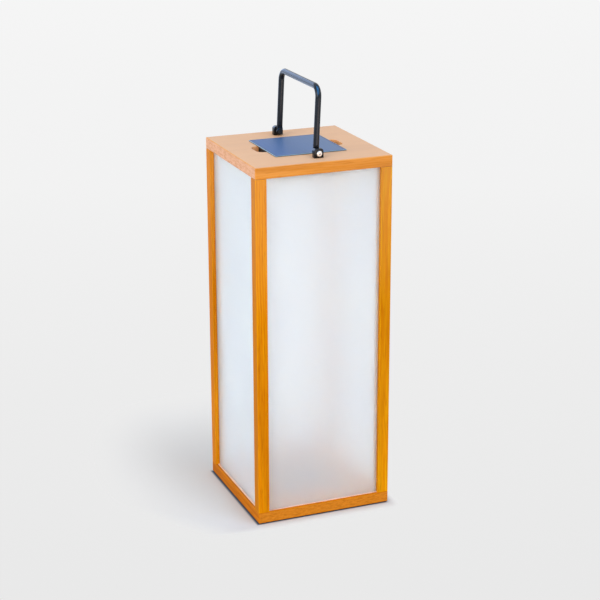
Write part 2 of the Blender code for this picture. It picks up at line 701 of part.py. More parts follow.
def batteries(module):
    """Two cells side by side in a holder under the housing's roof, with clips along its lower edges."""
    holder_top = roof_bottom - FIT_GAP
    cell_z = holder_top - HOLDER_FLOOR - FIT_GAP - CELL_RADIUS
    inside = CELL_PITCH / 2 + CELL_RADIUS + FIT_GAP
    outside = inside + HOLDER_WALL
    clip_z = cell_z - HOLDER_CLIP
    mouth = CELL_PITCH / 2 + math.sqrt(CELL_RADIUS**2 - HOLDER_CLIP**2) + 2 * FIT_GAP
    holder_bottom = clip_z - HOLDER_WALL
    half_cavity = CELL_LENGTH / 2 + FIT_GAP
    half_length = half_cavity + HOLDER_WALL
    size_z = holder_top - holder_bottom
    place = (0, 0, (holder_top + holder_bottom) / 2)
    holder = piece(
        "battery_holder",
        box(2 * half_length, 2 * outside, size_z),
        BLACK_PLASTIC,
        place,
        parent=module,
    )
    roof = holder_top - HOLDER_FLOOR
    below = holder_bottom - HOLDER_WALL
    side = [(inside, roof), (inside, cell_z - HOLDER_CLIP / 2), (mouth, clip_z), (mouth, below)]
    outline = side + [(-y, z) for y, z in reversed(side)]
    rings = [[(x, y, z) for y, z in outline] for x in (-half_cavity, half_cavity)]
    cut(tool("holder_cavity", lofted(rings), parent=module), holder)
    for name, hand in (("front", -1), ("back", 1)):
        cell = rod(CELL_RADIUS, -CELL_LENGTH / 2, CELL_LENGTH / 2, ROUND_STEPS)
        place = (0, hand * CELL_PITCH / 2, cell_z)
        piece("battery_cell_" + name, cell, CELL_WRAP, place, (0, math.pi / 2, 0), module)
    return half_length, cell_z


def smooth_route(points):
    """A lead's own points, with each corner cut off again and again until it is round."""
    for _ in range(LEAD_ROUNDS):
        softer = [points[0]]
        for start, end in zip(points, points[1:]):
            for share in (0.25, 0.75):
                softer.append(tuple(a + share * (b - a) for a, b in zip(start, end)))
        points = softer + [points[-1]]
    return points


def lead(name, start, start_way, middle, end, end_way, module):
    """A lead that leaves each terminal square to it, by the points given in between."""
    leave = [tuple(p + LEAD_STUB * share * d for p, d in zip(start, start_way)) for share in (0, 1)]
    arrive = [tuple(p + LEAD_STUB * share * d for p, d in zip(end, end_way)) for share in (1, 0)]
    route = smooth_route(leave + middle + arrive)
    curve = bpy.data.curves.new(name, "CURVE")
    curve.dimensions = "3D"
    curve.bevel_depth = LEAD_RADIUS
    curve.bevel_resolution = 2
    curve.use_fill_caps = True
    spline = curve.splines.new("POLY")
    spline.points.add(len(route) - 1)
    for knot, point in zip(spline.points, route):
        knot.co = (*point, 1)
    curve.materials.append(finish(name, LEAD_RED))
    placed(name, curve, (0, 0, 0), (0, 0, 0), module)


def leads(module, holder_end, cell_z):
    """Three leads to the control board: from the panel, the battery holder and the LED board."""
    up = (0, 0, 1)
    down = (0, 0, -1)
    solder_y = control_board_y
    solder_z = control_board_top + FIT_GAP
    panel_end = (panel_lead_x, solder_y, roof_top)
    lead("panel_lead", panel_end, down, [], (panel_lead_x, solder_y, solder_z), up, module)

    battery_end = (holder_end + FIT_GAP, 0, cell_z)
    battery_x = control_pillar_x - 2 * PILLAR_RADIUS
    bend = (holder_end + FIT_GAP + LEAD_STUB, solder_y / 2, (cell_z + solder_z) / 2)
    lead("battery_lead", battery_end, (1, 0, 0), [bend], (battery_x, solder_y, solder_z), up, module)

    led_x = 2 * PILLAR_RADIUS - led_pillar_x
    led_end = (led_x, LED_BOARD_WIDTH / 2 - PILLAR_RADIUS, led_board_top + FIT_GAP)
    lead("led_lead", led_end, up, [], (-panel_lead_x, solder_y, solder_z), up, module)


def light_module():
    module = placed("light_module", None, (0, 0, top_top), (0, 0, 0), None)
    tub = housing(module)
    solar_panel(module)
    cover(module, tub)
    lens(module)
    light(module)
    controls(module)
    holder_end, cell_z = batteries(module)
    leads(module, holder_end, cell_z)


clear_scene()
base = base_board()
top = top_board()
corner_posts = posts()
panes(base, top)
corner_fixings(base, top, corner_posts)
handle()
pivots(top)
light_module()
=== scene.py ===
"""The solar lantern as it looks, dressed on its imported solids. Metres, +Z up, front towards -Y."""

import math

import bmesh
import bpy
from mathutils import Matrix, Vector


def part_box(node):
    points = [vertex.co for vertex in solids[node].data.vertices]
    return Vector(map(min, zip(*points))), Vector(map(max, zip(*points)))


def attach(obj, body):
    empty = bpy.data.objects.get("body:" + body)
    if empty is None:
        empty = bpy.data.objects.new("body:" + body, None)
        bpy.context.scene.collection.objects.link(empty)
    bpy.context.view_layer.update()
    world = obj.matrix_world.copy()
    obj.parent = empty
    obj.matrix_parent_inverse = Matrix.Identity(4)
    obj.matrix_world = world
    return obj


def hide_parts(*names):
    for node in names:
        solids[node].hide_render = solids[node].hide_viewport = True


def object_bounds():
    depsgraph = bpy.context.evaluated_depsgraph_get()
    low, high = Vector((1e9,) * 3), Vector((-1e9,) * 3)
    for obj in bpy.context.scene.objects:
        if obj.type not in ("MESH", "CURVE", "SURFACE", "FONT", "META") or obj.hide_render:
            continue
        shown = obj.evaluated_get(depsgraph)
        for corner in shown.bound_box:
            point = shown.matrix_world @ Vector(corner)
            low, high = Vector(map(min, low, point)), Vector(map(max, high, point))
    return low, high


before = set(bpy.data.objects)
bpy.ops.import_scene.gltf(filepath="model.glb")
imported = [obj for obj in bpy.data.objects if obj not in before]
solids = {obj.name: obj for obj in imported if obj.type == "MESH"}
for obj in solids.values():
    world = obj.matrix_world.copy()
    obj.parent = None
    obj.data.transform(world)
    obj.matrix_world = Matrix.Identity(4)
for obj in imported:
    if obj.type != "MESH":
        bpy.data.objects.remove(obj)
cad_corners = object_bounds()


# Foot pads: four discs of black sheet rubber, punched out and glued under the base board.
# Rubber sheet is a dull charcoal with a dusty bloom, and takes no gloss.
MM = 0.001
CORNERS = ("front_left", "front_right", "back_left", "back_right")


def linear(code):
    """An sRGB hex colour as linear red, green, blue and alpha."""
    shares = [int(code[i : i + 2], 16) / 255 for i in (1, 3, 5)]
    return (*[c / 12.92 if c <= 0.04045 else ((c + 0.055) / 1.055) ** 2.4 for c in shares], 1.0)


def across(size):
    """The texture scale at which a feature is that many millimetres across."""
    return 1000 / size


def blank(name):
    """A new material and its empty node tree."""
    material = bpy.data.materials.new(name)
    material.use_nodes = True
    material.node_tree.nodes.clear()
    return material, material.node_tree


def node(tree, kind, inputs=None, **settings):
    """Adds a node with its settings, and sets or links its inputs."""
    made = tree.nodes.new("ShaderNode" + kind)
    for name, value in settings.items():
        setattr(made, name, value)
    for name, value in (inputs or {}).items():
        if isinstance(value, bpy.types.NodeSocket):
            tree.links.new(value, made.inputs[name])
        else:
            made.inputs[name].default_value = value
    return made


def dress(material, *names):
    """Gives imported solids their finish."""
    for name in names:
        for held in solids[name].material_slots:
            held.material = material


sheet_rubber, tree = blank("sheet_rubber")
place = node(tree, "TexCoord").outputs["Object"]
grit = node(tree, "TexNoise", {"Vector": place, "Scale": across(0.7), "Detail": 3.0})
bloom = node(tree, "TexNoise", {"Vector": place, "Scale": across(6), "Detail": 2.0})
dust = node(tree, "MapRange", {"Value": bloom.outputs[0], "From Min": 0.4, "From Max": 0.7})
shade = node(
    tree, "Mix", {0: dust.outputs[0], 6: linear("#1C1C1D"), 7: linear("#2E2D2C")}, data_type="RGBA"
)
pitted = node(tree, "Bump", {"Height": grit.outputs[0], "Strength": 0.3, "Distance": 0.1 * MM})
shader = node(
    tree,
    "BsdfPrincipled",
    {"Base Color": shade.outputs[2], "Normal": pitted.outputs[0], "Roughness": 0.85, "IOR": 1.52},
)
node(tree, "OutputMaterial", {"Surface": shader.outputs[0]})
dress(sheet_rubber, *["foot_pad_" + corner for corner in CORNERS])


# Base board: a square of 20 mm oiled teak, its grain running front to back, with a grey painted shade
# inside, and grooved for the panes with a thin pale painted highlight along each groove. A countersunk
# zinc-plated screw holds it to each post.
WAVE_TURN = 0.314
RING_WIDTH = 3.4
SHADE_START = 34 * MM
SHADE_FULL = 88 * MM
CUT_INSIDE = 14 * MM
WORN_EDGE = 1.2 * MM
WEAR_RAGGED = 1.6 * MM


def teak(
    name,
    board,
    grain,
    heart,
    tones,
    ends,
    pale,
    sheen_band=(-1.0, 1.0),
    left_shade=0.0,
    upper_pale=0.0,
    inner_shade=0.0,
):
    """Oiled teak. Rings run round the log's heart and pores along its grain, edges are worn paler and
    cut ends have their own colour. Faces that look up get a pale painted sheen between two distances
    from the edge, faces that look left get a painted shade, the upper part is paler, and faces that
    look up get a silver grey painted shade away from the edge."""
    dark, body, light = tones
    material, tree = blank(name)
    place = node(tree, "TexCoord").outputs["Object"]
    turn = {"X": (0, 0, 0), "Y": (0, 0, -math.pi / 2), "Z": (0, math.pi / 2, 0)}[grain]
    log = node(tree, "Mapping", {"Vector": place, "Rotation": turn, "Location": heart}).outputs[0]
    slow = node(tree, "Mapping", {"Vector": log, "Scale": (across(240), across(40), across(40))})
    sway = node(tree, "TexNoise", {"Vector": slow.outputs[0], "Scale": 1.0, "Detail": 2.0})
    drift = (0.0, 9 * MM, 9 * MM)
    bent = node(
        tree, "VectorMath", {0: sway.outputs["Color"], 1: drift, 2: log}, operation="MULTIPLY_ADD"
    ).outputs[0]
    # a wave texture makes one turn in 0.314 of its scale
    rings = node(
        tree,
        "TexWave",
        {"Vector": bent, "Scale": WAVE_TURN * across(RING_WIDTH)},
        wave_type="RINGS",
        rings_direction="X",
        wave_profile="SAW",
    )
    along = node(tree, "Mapping", {"Vector": bent, "Scale": (across(90), across(2.6), across(2.6))})
    fibres = node(
        tree, "TexNoise", {"Vector": along.outputs[0], "Scale": 1.0, "Detail": 4.0, "Roughness": 0.6}
    )
    # true pores are 0.2 mm wide and are drawn coarser to show
    opened = node(tree, "Mapping", {"Vector": bent, "Scale": (across(28), across(1.3), across(1.3))})
    pores = node(tree, "TexNoise", {"Vector": opened.outputs[0], "Scale": 1.0, "Detail": 1.0})
    wide = node(tree, "Mapping", {"Vector": log, "Scale": (across(330), across(24), across(24))})
    bands = node(tree, "TexNoise", {"Vector": wide.outputs[0], "Scale": 1.0, "Detail": 2.0})
    figure = node(
        tree,
        "Math",
        {0: rings.outputs["Fac"], 1: 0.35, 2: fibres.outputs[0]},
        operation="MULTIPLY_ADD",
    ).outputs[0]
    ring_share = node(tree, "MapRange", {"Value": figure, "From Min": 0.45, "From Max": 0.85}).outputs[0]
    ringed = node(tree, "Mix", {0: ring_share, 6: linear(light), 7: linear(body)}, data_type="RGBA")
    band_share = node(
        tree,
        "MapRange",
        {"Value": bands.outputs[0], "From Min": 0.45, "From Max": 0.75, "To Max": 0.5},
    )
    banded = node(
        tree, "Mix", {0: band_share.outputs[0], 6: ringed.outputs[2], 7: linear(dark)}, data_type="RGBA"
    )
    pore_share = node(
        tree,
        "MapRange",
        {"Value": pores.outputs[0], "From Min": 0.56, "From Max": 0.74, "To Max": 0.55},
    )
    pored = node(
        tree, "Mix", {0: pore_share.outputs[0], 6: banded.outputs[2], 7: linear(dark)}, data_type="RGBA"
    )
    facing = node(tree, "SeparateXYZ", {0: node(tree, "NewGeometry").outputs["Normal"]})
    # faces that look left are darkened with a painted shade
    left_shade_share = node(
        tree,
        "MapRange",
        {"Value": facing.outputs["X"], "From Min": -0.5, "From Max": -0.9, "To Max": left_shade},
    )
    pored = node(
        tree, "Mix", {0: left_shade_share.outputs[0], 6: pored.outputs[2], 7: linear(dark)}, data_type="RGBA"
    )
    cut_across = node(tree, "Math", {0: facing.outputs[grain]}, operation="ABSOLUTE").outputs[0]
    end_share = node(
        tree, "MapRange", {"Value": cut_across, "From Min": 0.7, "From Max": 0.9, "To Max": 0.9}
    )
    # rays and pores on the cut ends, which are finer than a millimetre and are drawn coarser to show
    slant = node(
        tree,
        "Mapping",
        {"Vector": log, "Rotation": (math.radians(55), 0, 0), "Scale": (across(60), across(11), across(3))},
    )
    rays = node(
        tree, "TexNoise", {"Vector": slant.outputs[0], "Scale": 1.0, "Detail": 3.0, "Roughness": 0.7}
    )
    late_wood = node(
        tree, "MapRange", {"Value": rays.outputs[0], "From Min": 0.42, "From Max": 0.68, "To Max": 0.5}
    )
    cut_ends = node(
        tree, "Mix", {0: late_wood.outputs[0], 6: linear(ends), 7: linear(dark)}, data_type="RGBA"
    )
    ended = node(
        tree,
        "Mix",
        {0: end_share.outputs[0], 6: pored.outputs[2], 7: cut_ends.outputs[2]},
        data_type="RGBA",
    )
    # distance to the nearest edge of the board: the middle one of its three depths below the faces
    low, high = board
    inward = node(tree, "VectorMath", {0: place, 1: (low + high) / 2}, operation="SUBTRACT").outputs[0]
    inward = node(tree, "VectorMath", {0: inward}, operation="ABSOLUTE").outputs[0]
    inward = node(tree, "VectorMath", {0: (high - low) / 2, 1: inward}, operation="SUBTRACT").outputs[0]
    depth = node(tree, "SeparateXYZ", {0: inward}).outputs
    least = node(tree, "Math", {0: depth[0], 1: depth[1]}, operation="MINIMUM").outputs[0]
    most = node(tree, "Math", {0: depth[0], 1: depth[1]}, operation="MAXIMUM").outputs[0]
    most = node(tree, "Math", {0: most, 1: depth[2]}, operation="MINIMUM").outputs[0]
    edge = node(tree, "Math", {0: least, 1: most}, operation="MAXIMUM").outputs[0]
    # faces that look up get a pale painted sheen between two distances from the edge
    up_share = node(
        tree,
        "MapRange",
        {"Value": facing.outputs["Z"], "From Min": 0.6, "From Max": 0.95, "To Max": 0.75},
    )
    first, last = sheen_band
    in_sheen_band = node(
        tree, "Math", {0: edge, 1: (first + last) / 2, 2: (last - first) / 2}, operation="COMPARE"
    ).outputs[0]
    pale_share = node(tree, "Math", {0: up_share.outputs[0], 1: in_sheen_band}, operation="MULTIPLY").outputs[0]
    # the upper two fifths grow paler
    height = node(tree, "SeparateXYZ", {0: place}).outputs["Z"]
    upper = node(
        tree,
        "MapRange",
        {"Value": height, "From Min": 0.4 * low.z + 0.6 * high.z, "From Max": high.z, "To Max": upper_pale},
    )
    pale_share = node(tree, "Math", {0: pale_share, 1: upper.outputs[0]}, operation="MAXIMUM").outputs[0]
    paled = node(tree, "Mix", {0: pale_share, 6: ended.outputs[2], 7: linear(pale)}, data_type="RGBA")
    # up-facing faces away from the edge get a silver grey painted shade, for the shade inside the box
    faces_up = node(
        tree,
        "MapRange",
        {"Value": facing.outputs["Z"], "From Min": 0.6, "From Max": 0.95, "To Max": inner_shade},
    ).outputs[0]
    past_rim = node(tree, "MapRange", {"Value": edge, "From Min": SHADE_START, "From Max": SHADE_FULL}).outputs[0]
    inner_shade_share = node(tree, "Math", {0: faces_up, 1: past_rim}, operation="MULTIPLY").outputs[0]
    inner_shaded = node(
        tree, "Mix", {0: inner_shade_share, 6: paled.outputs[2], 7: linear("#6E6C73")}, data_type="RGBA"
    )
    # the walls of what is cut through the board are painted paler, painted light standing in for light
    # reaching into them
    upright = node(tree, "Math", {0: facing.outputs["Z"]}, operation="ABSOLUTE").outputs[0]
    wall = node(tree, "MapRange", {"Value": upright, "From Min": 0.5, "From Max": 0.3}).outputs[0]
    inside = node(
        tree, "MapRange", {"Value": edge, "From Min": CUT_INSIDE, "From Max": CUT_INSIDE + 2 * MM}
    ).outputs[0]
    lit_wall_share = node(tree, "Math", {0: wall, 1: inside}, operation="MULTIPLY").outputs[0]
    lit_walls = node(
        tree, "Mix", {0: lit_wall_share, 6: inner_shaded.outputs[2], 7: linear("#FFB87C")}, data_type="RGBA"
    )
    ragged = node(
        tree, "Math", {0: fibres.outputs[0], 1: WEAR_RAGGED, 2: edge}, operation="MULTIPLY_ADD"
    ).outputs[0]
    wear_share = node(
        tree,
        "MapRange",
        {
            "Value": ragged,
            "From Min": WORN_EDGE,
            "From Max": 2 * WORN_EDGE,
            "To Min": 0.45,
            "To Max": 0.0,
        },
    )
    worn = node(
        tree, "Mix", {0: wear_share.outputs[0], 6: lit_walls.outputs[2], 7: linear(light)}, data_type="RGBA"
    )
    satin = node(tree, "MapRange", {"Value": fibres.outputs[0], "To Min": 0.40, "To Max": 0.58})
    raised = node(tree, "Bump", {"Height": figure, "Strength": 0.25, "Distance": 0.25 * MM})
    shader = node(
        tree,
        "BsdfPrincipled",
        {
            "Base Color": worn.outputs[2],
            "Roughness": satin.outputs[0],
            "Normal": raised.outputs[0],
            "Specular IOR Level": 0.03,
        },
    )
    node(tree, "OutputMaterial", {"Surface": shader.outputs[0]})
    return material


base_tones = ("#8A4400", "#B86400", "#CC7808")
LEDGE = 8 * MM
LEDGE_HIGHLIGHT = 3.8 * MM
base_teak = teak(
    "teak_base",
    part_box("base_board"),
    "Y",
    (0.31, 0.06, -0.09),
    base_tones,
    ends="#CE8426",
    pale="#F4DCCB",
    # a thin pale painted highlight along the inner end of each ledge
    sheen_band=(LEDGE - LEDGE_HIGHLIGHT, LEDGE),
    # a silver grey painted shade over the inside of the box
    inner_shade=0.9,
)
dress(base_teak, "base_board")

# zinc plate is a dull silver with a faint spangle
zinc_plate, tree = blank("zinc_plate")
place = node(tree, "TexCoord").outputs["Object"]
spangle = node(tree, "TexNoise", {"Vector": place, "Scale": across(1.5), "Detail": 2.0})
sheen = node(tree, "MapRange", {"Value": spangle.outputs[0], "To Min": 0.28, "To Max": 0.5})
shade = node(
    tree, "Mix", {0: spangle.outputs[0], 6: linear("#B9B7AE"), 7: linear("#D2D2CC")}, data_type="RGBA"
)
shader = node(
    tree,
    "BsdfPrincipled",
    {"Base Color": shade.outputs[2], "Roughness": sheen.outputs[0], "Metallic": 1.0},
)
node(tree, "OutputMaterial", {"Surface": shader.outputs[0]})
dress(zinc_plate, *["base_screw_" + corner for corner in CORNERS])


# Corner posts: four 20 mm square lengths of oiled teak, grooved on two sides for the panes.
# A beech dowel joins the top of each one to the top board.
post_tones = {
    "front_left": ("#9E5200", "#D07B00", "#DC9604"),
    "front_right": ("#A25A00", "#D28300", "#E0A208"),
    "back_left": ("#A85600", "#D88000", "#E89C1C"),
    "back_right": ("#AC5C00", "#D88000", "#E89C18"),
}
hearts = {
    "front_left": (0.0, 0.05, -0.04),
    "front_right": (0.4, -0.03, 0.06),
    "back_left": (0.8, 0.02, -0.05),
    "back_right": (1.2, -0.06, 0.03),
}
for corner in CORNERS:
    post = "post_" + corner
    timber = teak(
        "teak_" + post,
        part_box(post),
        "Z",
        hearts[corner],
        post_tones[corner],
        ends="#C87C10",
        pale="#E8BF9C",
        # a painted shade on the faces that look left
        left_shade=0.45,
        upper_pale=0.1,
    )
    dress(timber, post)

# beech is a pale straw colour, flecked along its length
beech, tree = blank("beech_dowel")
place = node(tree, "TexCoord").outputs["Object"]
length = node(tree, "Mapping", {"Vector": place, "Scale": (across(1.2), across(1.2), across(20))})
flecks = node(tree, "TexNoise", {"Vector": length.outputs[0], "Scale": 1.0, "Detail": 3.0})
shade = node(
    tree, "Mix", {0: flecks.outputs[0], 6: linear("#C9A273"), 7: linear("#E0C197")}, data_type="RGBA"
)
shader = node(tree, "BsdfPrincipled", {"Base Color": shade.outputs[2], "Roughness": 0.6})
node(tree, "OutputMaterial", {"Surface": shader.outputs[0]})
dress(beech, *["top_dowel_" + corner for corner in CORNERS])


# Panes: four 3 mm sheets of acrylic, frosted all over, slid into the grooves before the top goes on.
# Frosted acrylic blurs what stands behind it, more with distance, and looks a cool milky white.
frosted, tree = blank("frosted_acrylic")
place = node(tree, "TexCoord").outputs["Object"]
cloud = node(tree, "TexNoise", {"Vector": place, "Scale": across(120), "Detail": 2.0})
# the etch is finer than a tenth of a millimetre and is drawn coarser to show
etch = node(tree, "TexNoise", {"Vector": place, "Scale": across(0.8), "Detail": 2.0})
shade = node(
    tree, "Mix", {0: cloud.outputs[0], 6: linear("#F3F8FE"), 7: linear("#F9FEFF")}, data_type="RGBA"
)
haze = node(tree, "MapRange", {"Value": cloud.outputs[0], "To Min": 0.56, "To Max": 0.64})
grain = node(tree, "Bump", {"Height": etch.outputs[0], "Strength": 0.12, "Distance": 0.1 * MM})
shader = node(
    tree,
    "BsdfPrincipled",
    {
        "Base Color": shade.outputs[2],
        "Roughness": haze.outputs[0],
        "Normal": grain.outputs[0],
        "IOR": 1.2,
        "Transmission Weight": 0.71,
    },
)
node(tree, "OutputMaterial", {"Surface": shader.outputs[0]})
dress(frosted, "pane_front", "pane_back", "pane_left", "pane_right")


# Top board: a square of 20 mm oiled teak with its grain running left to right, cut out for the light
# module, with a finger notch at each side of the opening.
top_tones = ("#AD651F", "#D28831", "#DC9A4E")
top_teak = teak(
    "teak_top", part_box("top_board"), "X", (0.17, 0.03, -0.52), top_tones, ends="#DAAE92", pale="#E8BF9C"
)
dress(top_teak, "top_board")


# Pivot blocks: two small blocks of black powder-coated aluminium with rounded shoulders, screwed to
# the top board from below. Powder coat has a fine orange-peel skin and a satin gloss.
def begin(add, name, scale=(1, 1, 1), **settings):
    """Starts a piece from a primitive, with nothing else selected."""
    bpy.ops.object.select_all(action="DESELECT")
    add(**settings)
    piece = bpy.context.object
    piece.name = piece.data.name = name
    piece.scale = scale
    bpy.ops.object.transform_apply(location=True, rotation=True, scale=True)
    return piece


def pick(piece, kind, test):
    """In edit mode, selects only the faces or edges that pass the test."""
    bpy.ops.mesh.select_mode(type={"faces": "FACE", "edges": "EDGE"}[kind])
    bpy.ops.mesh.select_all(action="DESELECT")
    shape = bmesh.from_edit_mesh(piece.data)
    for item in getattr(shape, kind):
        item.select_set(test(item))
    bmesh.update_edit_mesh(piece.data)


def middle(item):
    """The middle of a face or an edge."""
    return sum((corner.co for corner in item.verts), Vector()) / len(item.verts)


def apply(piece, kind, **settings):
    """Adds a modifier to the piece and applies it."""
    bpy.context.view_layer.objects.active = piece
    made = piece.modifiers.new(kind.lower(), kind)
    for name, value in settings.items():
        setattr(made, name, value)
    bpy.ops.object.modifier_apply(modifier=made.name)


def combine(piece, other, operation):
    """Adds another shape to the piece or cuts it out, and removes that shape."""
    apply(piece, "BOOLEAN", object=other, operation=operation)
    bpy.data.objects.remove(other)


def smooth(piece, degrees):
    """Shades the piece smooth, with creases sharper than that angle."""
    bpy.ops.object.select_all(action="DESELECT")
    piece.select_set(True)
    bpy.context.view_layer.objects.active = piece
    bpy.ops.object.shade_smooth_by_angle(angle=math.radians(degrees))


def half_turned(piece, name):
    """A copy with its own mesh, turned half round the lantern's upright axis."""
    twin = piece.copy()
    twin.data = piece.data.copy()
    twin.name = twin.data.name = name
    bpy.context.scene.collection.objects.link(twin)
    twin.data.transform(Matrix.Rotation(math.pi, 4, "Z"))
    return twin


def settle(piece, material, body, slot, *nodes):
    """Gives a finished piece its material and its body, and hides the solids that it stands for. The slot
    is not used.
    """
    piece.data.materials.clear()
    piece.data.materials.append(material)
    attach(piece, body)
    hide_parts(*nodes)


powder_coat, tree = blank("black_powder_coat")
place = node(tree, "TexCoord").outputs["Object"]
peel = node(tree, "TexNoise", {"Vector": place, "Scale": across(1.1), "Detail": 2.0})
rubbed = node(tree, "TexNoise", {"Vector": place, "Scale": across(18), "Detail": 3.0})
shade = node(
    tree, "Mix", {0: rubbed.outputs[0], 6: linear("#060607"), 7: linear("#0D0D0E")}, data_type="RGBA"
)
sheen = node(tree, "MapRange", {"Value": rubbed.outputs[0], "To Min": 0.2, "To Max": 0.3})
skin = node(tree, "Bump", {"Height": peel.outputs[0], "Strength": 0.15, "Distance": 0.08 * MM})
shader = node(
    tree,
    "BsdfPrincipled",
    {
        "Base Color": shade.outputs[2],
        "Roughness": sheen.outputs[0],
        "Normal": skin.outputs[0],
        "Specular IOR Level": 0.36,
        "Specular Tint": linear("#DCEBFF"),
    },
)
node(tree, "OutputMaterial", {"Surface": shader.outputs[0]})

low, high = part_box("pivot_block_front")
bolt_low, bolt_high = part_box("pivot_bolt_front")
pivot = Vector((0, 0, (bolt_low.z + bolt_high.z) / 2))
SHOULDER = 5 * MM
BLOCK_EASE = 0.6 * MM
BORE_RADIUS = 2.8 * MM
THROUGH = 30 * MM
TOUCH = 0.1 * MM
sharp = {"limit_method": "ANGLE", "angle_limit": math.radians(40)}
block = begin(
    bpy.ops.mesh.primitive_cube_add, "pivot_block_f", size=1, location=(low + high) / 2, scale=high - low
)
bpy.ops.object.mode_set(mode="EDIT")
pick(block, "edges", lambda e: middle(e).z > high.z - TOUCH and abs(middle(e).x) > high.x - TOUCH)
bpy.ops.mesh.bevel(offset=SHOULDER, segments=8, affect="EDGES")
bpy.ops.object.mode_set(mode="OBJECT")
apply(block, "BEVEL", width=BLOCK_EASE, segments=3, **sharp)
bore = begin(
    bpy.ops.mesh.primitive_cylinder_add,
    "bore",
    vertices=32,
    radius=BORE_RADIUS,
    depth=THROUGH,
    location=(0, (low.y + high.y) / 2, pivot.z),
    rotation=(math.pi / 2, 0, 0),
)
combine(block, bore, "DIFFERENCE")
smooth(block, 30)
back_block = half_turned(block, "pivot_block_b")
settle(block, powder_coat, "frame", "black_coat", "pivot_block_front")
settle(back_block, powder_coat, "frame", "black_coat", "pivot_block_back")
dress(zinc_plate, *["block_screw_" + side for side in CORNERS])


# Pivot bolts: two stainless button-head bolts with a hexagon socket, through block, washer and eye.
# The heads are turned and polished, and catch the light as bright discs.
polished, tree = blank("polished_stainless")
place = node(tree, "TexCoord").outputs["Object"]
turned = node(tree, "Mapping", {"Vector": place, "Location": (0, 0, -pivot.z)})
marks = node(
    tree,
    "TexWave",
    {"Vector": turned.outputs[0], "Scale": WAVE_TURN * across(0.5), "Distortion": 0.6},
    wave_type="RINGS",
    rings_direction="Y",
)
scuffs = node(tree, "TexNoise", {"Vector": place, "Scale": across(2.5), "Detail": 4.0})
shade = node(
    tree, "Mix", {0: scuffs.outputs[0], 6: linear("#C2C5C8"), 7: linear("#DADDE0")}, data_type="RGBA"
)
sheen = node(tree, "MapRange", {"Value": scuffs.outputs[0], "To Min": 0.3, "To Max": 0.46})
lathe = node(tree, "Bump", {"Height": marks.outputs["Fac"], "Strength": 0.06, "Distance": 0.05 * MM})
shader = node(
    tree,
    "BsdfPrincipled",
    {
        "Base Color": shade.outputs[2],
        "Roughness": sheen.outputs[0],
        "Normal": lathe.outputs[0],
        "Metallic": 1.0,
    },
)
node(tree, "OutputMaterial", {"Surface": shader.outputs[0]})

HEAD_RADIUS = 5 * MM
HEAD_HEIGHT = 2.8 * MM
HEAD_RIM = 1.9 * MM
DOME_SHARE = 0.3
DOME_STEPS = 6
SHANK_RADIUS = 2.5 * MM
TIP = 0.4 * MM
SOCKET_RADIUS = 2.0 * MM
SOCKET_DEPTH = 2.2 * MM
bolt = begin(
    bpy.ops.mesh.primitive_cylinder_add,
    "pivot_bolt_f",
    vertices=48,
    radius=HEAD_RADIUS,
    depth=HEAD_RIM,
    location=(0, bolt_low.y + HEAD_HEIGHT - HEAD_RIM / 2, pivot.z),
    rotation=(math.pi / 2, 0, 0),
)
bpy.ops.object.mode_set(mode="EDIT")
pick(bolt, "faces", lambda f: f.normal.y < -0.9)
for step in range(DOME_STEPS):
    outer, inner = (math.pi / 2 * share / DOME_STEPS for share in (step, step + 1))
    narrower = (math.cos(outer) - math.cos(inner)) * DOME_SHARE * HEAD_RADIUS
    higher = (math.sin(inner) - math.sin(outer)) * (HEAD_HEIGHT - HEAD_RIM)
    bpy.ops.mesh.inset(thickness=narrower, depth=higher)
pick(bolt, "faces", lambda f: f.normal.y > 0.9)
bpy.ops.mesh.inset(thickness=HEAD_RADIUS - SHANK_RADIUS, depth=0)
CAP = 1.0 * MM
shank = bolt_high.y - bolt_low.y - HEAD_HEIGHT - CAP
bpy.ops.mesh.extrude_region_move(TRANSFORM_OT_translate={"value": (0, shank - TIP, 0)})
bpy.ops.mesh.inset(thickness=TIP, depth=TIP)
bpy.ops.object.mode_set(mode="OBJECT")
socket = begin(
    bpy.ops.mesh.primitive_cylinder_add,
    "socket",
    vertices=6,
    radius=SOCKET_RADIUS,
    depth=2 * SOCKET_DEPTH,
    location=(0, bolt_low.y, pivot.z),
    rotation=(math.pi / 2, 0, 0),
)
combine(bolt, socket, "DIFFERENCE")
smooth(bolt, 32)
back_bolt = half_turned(bolt, "pivot_bolt_b")
settle(bolt, polished, "frame", "bolt_steel", "pivot_bolt_front")
settle(back_bolt, polished, "frame", "bolt_steel", "pivot_bolt_back")


# Washers and nuts: a punched stainless washer between each block and eye, and a blackened hexagon nut
# on the inner end of each bolt, with its corners chamfered and its end closed.
low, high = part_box("pivot_washer_front")
WASHER_RADIUS = (high.x - low.x) / 2
WASHER_EASE = 0.15 * MM
washer = begin(
    bpy.ops.mesh.primitive_cylinder_add,
    "pivot_washer_f",
    vertices=48,
    radius=WASHER_RADIUS,
    depth=high.y - low.y,
    location=(low + high) / 2,
    rotation=(math.pi / 2, 0, 0),
)
bpy.ops.object.mode_set(mode="EDIT")
pick(washer, "faces", lambda f: abs(f.normal.y) > 0.9)
bpy.ops.mesh.inset(thickness=WASHER_RADIUS - BORE_RADIUS, depth=0, use_individual=True)
bpy.ops.mesh.bridge_edge_loops()
bpy.ops.object.mode_set(mode="OBJECT")
apply(washer, "BEVEL", width=WASHER_EASE, segments=2, **sharp)
smooth(washer, 30)
back_washer = half_turned(washer, "pivot_washer_b")
settle(washer, polished, "frame", "bolt_steel", "pivot_washer_front")
settle(back_washer, polished, "frame", "bolt_steel", "pivot_washer_back")

